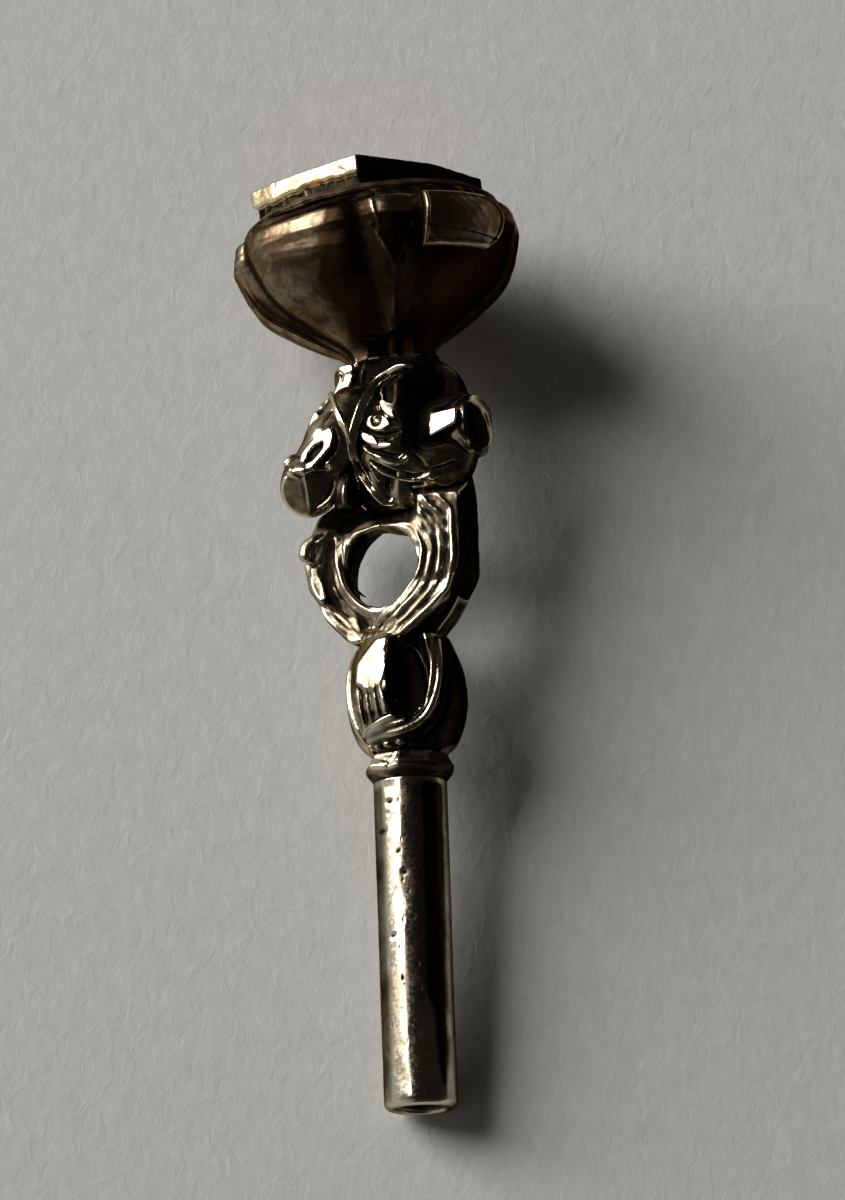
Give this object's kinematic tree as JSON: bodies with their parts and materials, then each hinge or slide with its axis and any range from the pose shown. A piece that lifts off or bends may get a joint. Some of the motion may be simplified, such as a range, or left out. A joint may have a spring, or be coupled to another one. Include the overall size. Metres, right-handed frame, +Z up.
{
  "type": "antique figural watch key",
  "caption": "Watch key with a lobed seal head on a stem of animal heads, a pierced eye for a fob ring and a round pipe with a square socket.",
  "frame": {"origin": "on the surface the key lies on, under the middle of its box", "axes": "+Y along the key's length from the pipe to the seal, +Z up, +X to the right of the figure's front; the key's own axis slopes 7.1 degrees up towards the seal"},
  "size_m": [0.0128, 0.042, 0.0127],
  "materials": {
    "silver_gilt": "worn, polished on the high places and dark in the hollows",
    "socket_steel": "blackened steel",
    "core_metal": "plain, inside the key",
    "seal_stone": "polished hardstone",
    "cement": "dark setting cement"
  },
  "bodies": {
    "root": {"bezel_rim": "silver_gilt", "bulb_core": "silver_gilt", "cartouche_plate": "silver_gilt", "collar_ring": "silver_gilt", "figure_core": "silver_gilt", "left_hound_head": "silver_gilt", "left_loop_strand": "silver_gilt", "left_mane_band": "silver_gilt", "left_tail_leaf": "silver_gilt", "lobed_cup": "silver_gilt", "neck_rivet": "core_metal", "pipe_tube": "silver_gilt", "right_hound_head": "silver_gilt", "right_loop_strand": "silver_gilt", "right_mane_band": "silver_gilt", "right_tail_leaf": "silver_gilt", "seal_stone": "seal_stone", "seat_plate": "silver_gilt", "steel_socket": "socket_steel", "stem_tenon": "core_metal", "stone_cement": "cement"}
  },
  "joints": []
}
